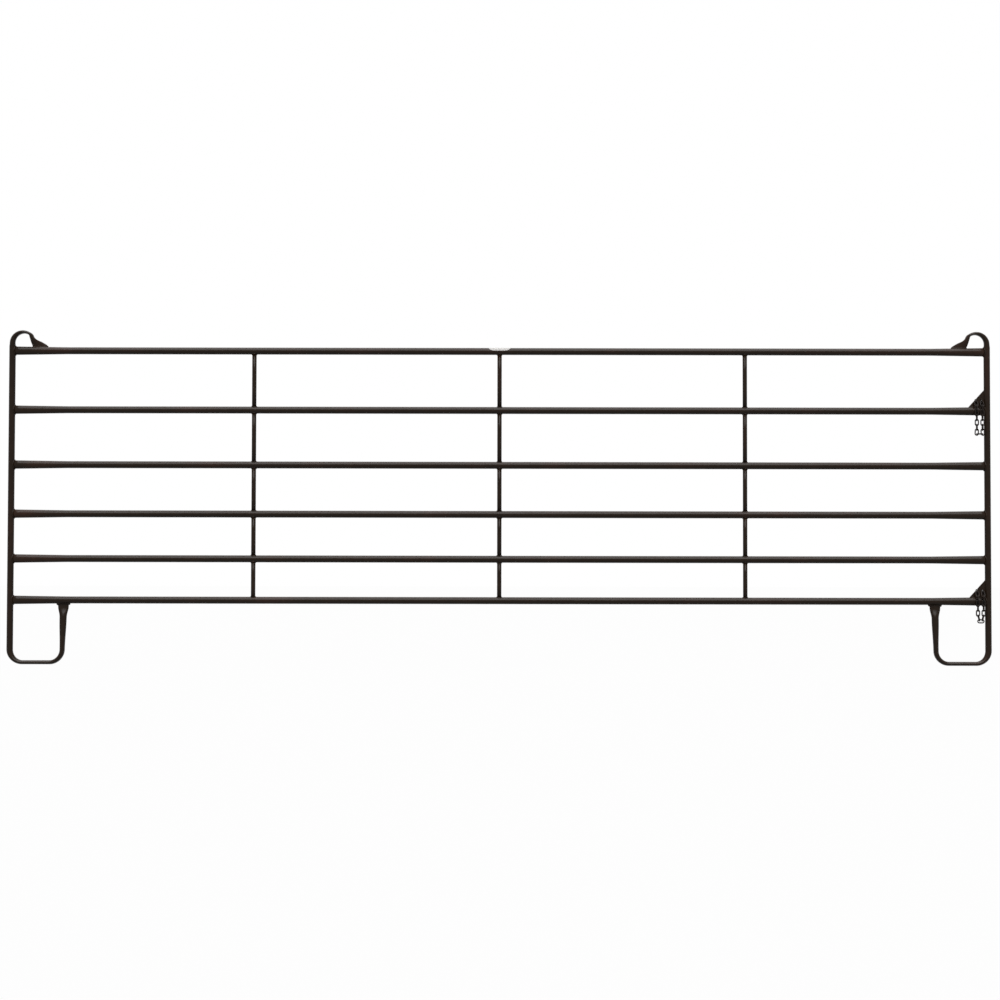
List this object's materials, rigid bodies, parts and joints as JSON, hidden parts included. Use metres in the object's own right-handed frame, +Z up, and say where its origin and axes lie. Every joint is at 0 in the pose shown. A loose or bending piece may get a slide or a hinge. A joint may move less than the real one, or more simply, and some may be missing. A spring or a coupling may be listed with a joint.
{
  "type": "livestock panel",
  "caption": "Free-standing welded tube livestock panel with horizontal rails, vertical stays, an arched and footed tube at each end, and stowed latch chains on slotted corner plates.",
  "frame": {"origin": "on the ground, below the middle of the panel, in the plane of the rails", "axes": "+X along the rails to the end with the chains, +Y from the chain side to the back, +Z up"},
  "size_m": [4.8768, 0.0563, 1.6577],
  "materials": {
    "frame_paint": "semi-gloss dark brown-black enamel",
    "chain_paint": "the same enamel, worn thinner"
  },
  "bodies": {
    "panel": {"rail_1": "frame_paint", "rail_2": "frame_paint", "rail_3": "frame_paint", "rail_4": "frame_paint", "rail_5": "frame_paint", "rail_6": "frame_paint", "left_end_tube": "frame_paint", "right_end_tube": "frame_paint", "stay_1_1": "frame_paint", "stay_1_2": "frame_paint", "stay_1_3": "frame_paint", "stay_1_4": "frame_paint", "stay_1_5": "frame_paint", "stay_2_1": "frame_paint", "stay_2_2": "frame_paint", "stay_2_3": "frame_paint", "stay_2_4": "frame_paint", "stay_2_5": "frame_paint", "stay_3_1": "frame_paint", "stay_3_2": "frame_paint", "stay_3_3": "frame_paint", "stay_3_4": "frame_paint", "stay_3_5": "frame_paint", "upper_corner_plate": "frame_paint", "lower_corner_plate": "frame_paint", "upper_chain_link_01": "chain_paint", "upper_chain_link_17": "chain_paint", "lower_chain_link_01": "chain_paint", "lower_chain_link_15": "chain_paint"},
    "upper_chain_link_02": {"upper_chain_link_02": "chain_paint"},
    "upper_chain_link_03": {"upper_chain_link_03": "chain_paint"},
    "upper_chain_link_04": {"upper_chain_link_04": "chain_paint"},
    "upper_chain_link_05": {"upper_chain_link_05": "chain_paint"},
    "upper_chain_link_06": {"upper_chain_link_06": "chain_paint"},
    "upper_chain_link_07": {"upper_chain_link_07": "chain_paint"},
    "upper_chain_link_08": {"upper_chain_link_08": "chain_paint"},
    "upper_chain_link_09": {"upper_chain_link_09": "chain_paint"},
    "upper_chain_link_10": {"upper_chain_link_10": "chain_paint"},
    "upper_chain_link_11": {"upper_chain_link_11": "chain_paint"},
    "upper_chain_link_12": {"upper_chain_link_12": "chain_paint"},
    "upper_chain_link_13": {"upper_chain_link_13": "chain_paint"},
    "upper_chain_link_14": {"upper_chain_link_14": "chain_paint"},
    "upper_chain_link_15": {"upper_chain_link_15": "chain_paint"},
    "upper_chain_link_16": {"upper_chain_link_16": "chain_paint"},
    "upper_chain_link_18": {"upper_chain_link_18": "chain_paint"},
    "lower_chain_link_02": {"lower_chain_link_02": "chain_paint"},
    "lower_chain_link_03": {"lower_chain_link_03": "chain_paint"},
    "lower_chain_link_04": {"lower_chain_link_04": "chain_paint"},
    "lower_chain_link_05": {"lower_chain_link_05": "chain_paint"},
    "lower_chain_link_06": {"lower_chain_link_06": "chain_paint"},
    "lower_chain_link_07": {"lower_chain_link_07": "chain_paint"},
    "lower_chain_link_08": {"lower_chain_link_08": "chain_paint"},
    "lower_chain_link_09": {"lower_chain_link_09": "chain_paint"},
    "lower_chain_link_10": {"lower_chain_link_10": "chain_paint"},
    "lower_chain_link_11": {"lower_chain_link_11": "chain_paint"},
    "lower_chain_link_12": {"lower_chain_link_12": "chain_paint"},
    "lower_chain_link_13": {"lower_chain_link_13": "chain_paint"},
    "lower_chain_link_14": {"lower_chain_link_14": "chain_paint"},
    "lower_chain_link_16": {"lower_chain_link_16": "chain_paint"}
  },
  "joints": [
    {"name": "upper_link_02_swing", "type": "hinge", "parent": "panel", "child": "upper_chain_link_02", "pos_m": [2.39405, -0.00791, 1.31136], "axis": [-1, 0, 0], "range_deg": [0, 60]},
    {"name": "upper_link_03_swing", "type": "hinge", "parent": "upper_chain_link_02", "child": "upper_chain_link_03", "pos_m": [2.39405, -0.02415, 1.28554], "axis": [-1, 0, 0], "range_deg": [0, 35]},
    {"name": "upper_link_04_swing", "type": "hinge", "parent": "upper_chain_link_03", "child": "upper_chain_link_04", "pos_m": [2.39405, -0.02415, 1.26804], "axis": [-1, 0, 0], "range_deg": [0, 35]},
    {"name": "upper_link_05_swing", "type": "hinge", "parent": "upper_chain_link_04", "child": "upper_chain_link_05", "pos_m": [2.39405, -0.02415, 1.23754], "axis": [-1, 0, 0], "range_deg": [0, 35]},
    {"name": "upper_link_06_swing", "type": "hinge", "parent": "upper_chain_link_05", "child": "upper_chain_link_06", "pos_m": [2.39405, -0.02415, 1.22004], "axis": [-1, 0, 0], "range_deg": [0, 35]},
    {"name": "upper_link_07_swing", "type": "hinge", "parent": "upper_chain_link_06", "child": "upper_chain_link_07", "pos_m": [2.39405, -0.02415, 1.18954], "axis": [-1, 0, 0], "range_deg": [-20, 35]},
    {"name": "upper_link_08_swing", "type": "hinge", "parent": "upper_chain_link_07", "child": "upper_chain_link_08", "pos_m": [2.39405, -0.02415, 1.17204], "axis": [-1, 0, 0], "range_deg": [-20, 35]},
    {"name": "upper_link_09_swing", "type": "hinge", "parent": "upper_chain_link_08", "child": "upper_chain_link_09", "pos_m": [2.38005, -0.02415, 1.14808], "axis": [-1, 0, 0], "range_deg": [-10, 10]},
    {"name": "upper_link_16_swing", "type": "hinge", "parent": "panel", "child": "upper_chain_link_16", "pos_m": [2.36605, -0.00791, 1.31136], "axis": [-1, 0, 0], "range_deg": [0, 60]},
    {"name": "upper_link_15_swing", "type": "hinge", "parent": "upper_chain_link_16", "child": "upper_chain_link_15", "pos_m": [2.36605, -0.02415, 1.28554], "axis": [-1, 0, 0], "range_deg": [0, 35]},
    {"name": "upper_link_14_swing", "type": "hinge", "parent": "upper_chain_link_15", "child": "upper_chain_link_14", "pos_m": [2.36605, -0.02415, 1.26804], "axis": [-1, 0, 0], "range_deg": [0, 35]},
    {"name": "upper_link_13_swing", "type": "hinge", "parent": "upper_chain_link_14", "child": "upper_chain_link_13", "pos_m": [2.36605, -0.02415, 1.23754], "axis": [-1, 0, 0], "range_deg": [0, 35]},
    {"name": "upper_link_12_swing", "type": "hinge", "parent": "upper_chain_link_13", "child": "upper_chain_link_12", "pos_m": [2.36605, -0.02415, 1.22004], "axis": [-1, 0, 0], "range_deg": [0, 35]},
    {"name": "upper_link_11_swing", "type": "hinge", "parent": "upper_chain_link_12", "child": "upper_chain_link_11", "pos_m": [2.36605, -0.02415, 1.18954], "axis": [-1, 0, 0], "range_deg": [-20, 35]},
    {"name": "upper_link_10_swing", "type": "hinge", "parent": "upper_chain_link_11", "child": "upper_chain_link_10", "pos_m": [2.36605, -0.02415, 1.17204], "axis": [-1, 0, 0], "range_deg": [-20, 35]},
    {"name": "upper_link_18_swing", "type": "hinge", "parent": "panel", "child": "upper_chain_link_18", "pos_m": [2.36605, 0.006, 1.31085], "axis": [1, 0, 0], "range_deg": [0, 48]},
    {"name": "lower_link_02_swing", "type": "hinge", "parent": "panel", "child": "lower_chain_link_02", "pos_m": [2.39405, -0.00791, 0.36736], "axis": [-1, 0, 0], "range_deg": [0, 60]},
    {"name": "lower_link_03_swing", "type": "hinge", "parent": "lower_chain_link_02", "child": "lower_chain_link_03", "pos_m": [2.39405, -0.02415, 0.34154], "axis": [-1, 0, 0], "range_deg": [0, 35]},
    {"name": "lower_link_04_swing", "type": "hinge", "parent": "lower_chain_link_03", "child": "lower_chain_link_04", "pos_m": [2.39405, -0.02415, 0.32404], "axis": [-1, 0, 0], "range_deg": [0, 35]},
    {"name": "lower_link_05_swing", "type": "hinge", "parent": "lower_chain_link_04", "child": "lower_chain_link_05", "pos_m": [2.39405, -0.02415, 0.29354], "axis": [-1, 0, 0], "range_deg": [0, 35]},
    {"name": "lower_link_06_swing", "type": "hinge", "parent": "lower_chain_link_05", "child": "lower_chain_link_06", "pos_m": [2.39405, -0.02415, 0.27604], "axis": [-1, 0, 0], "range_deg": [-20, 35]},
    {"name": "lower_link_07_swing", "type": "hinge", "parent": "lower_chain_link_06", "child": "lower_chain_link_07", "pos_m": [2.39405, -0.02415, 0.24554], "axis": [-1, 0, 0], "range_deg": [-20, 35]},
    {"name": "lower_link_08_swing", "type": "hinge", "parent": "lower_chain_link_07", "child": "lower_chain_link_08", "pos_m": [2.38005, -0.02415, 0.22881], "axis": [-1, 0, 0], "range_deg": [-20, 35]},
    {"name": "lower_link_14_swing", "type": "hinge", "parent": "panel", "child": "lower_chain_link_14", "pos_m": [2.36605, -0.00791, 0.36736], "axis": [-1, 0, 0], "range_deg": [0, 60]},
    {"name": "lower_link_13_swing", "type": "hinge", "parent": "lower_chain_link_14", "child": "lower_chain_link_13", "pos_m": [2.36605, -0.02415, 0.34154], "axis": [-1, 0, 0], "range_deg": [0, 35]},
    {"name": "lower_link_12_swing", "type": "hinge", "parent": "lower_chain_link_13", "child": "lower_chain_link_12", "pos_m": [2.36605, -0.02415, 0.32404], "axis": [-1, 0, 0], "range_deg": [0, 35]},
    {"name": "lower_link_11_swing", "type": "hinge", "parent": "lower_chain_link_12", "child": "lower_chain_link_11", "pos_m": [2.36605, -0.02415, 0.29354], "axis": [-1, 0, 0], "range_deg": [0, 35]},
    {"name": "lower_link_10_swing", "type": "hinge", "parent": "lower_chain_link_11", "child": "lower_chain_link_10", "pos_m": [2.36605, -0.02415, 0.27604], "axis": [-1, 0, 0], "range_deg": [-20, 35]},
    {"name": "lower_link_09_swing", "type": "hinge", "parent": "lower_chain_link_10", "child": "lower_chain_link_09", "pos_m": [2.36605, -0.02415, 0.24554], "axis": [-1, 0, 0], "range_deg": [-20, 35]},
    {"name": "lower_link_16_swing", "type": "hinge", "parent": "panel", "child": "lower_chain_link_16", "pos_m": [2.36605, 0.006, 0.36685], "axis": [1, 0, 0], "range_deg": [0, 48]}
  ],
  "couplings": [
    {"joint": "upper_link_16_swing", "follows": "upper_link_02_swing", "ratio": 1},
    {"joint": "upper_link_15_swing", "follows": "upper_link_03_swing", "ratio": 1},
    {"joint": "upper_link_14_swing", "follows": "upper_link_04_swing", "ratio": 1},
    {"joint": "upper_link_13_swing", "follows": "upper_link_05_swing", "ratio": 1},
    {"joint": "upper_link_12_swing", "follows": "upper_link_06_swing", "ratio": 1},
    {"joint": "upper_link_11_swing", "follows": "upper_link_07_swing", "ratio": 1},
    {"joint": "upper_link_10_swing", "follows": "upper_link_08_swing", "ratio": 1},
    {"joint": "lower_link_14_swing", "follows": "lower_link_02_swing", "ratio": 1},
    {"joint": "lower_link_13_swing", "follows": "lower_link_03_swing", "ratio": 1},
    {"joint": "lower_link_12_swing", "follows": "lower_link_04_swing", "ratio": 1},
    {"joint": "lower_link_11_swing", "follows": "lower_link_05_swing", "ratio": 1},
    {"joint": "lower_link_10_swing", "follows": "lower_link_06_swing", "ratio": 1},
    {"joint": "lower_link_09_swing", "follows": "lower_link_07_swing", "ratio": 1}
  ]
}
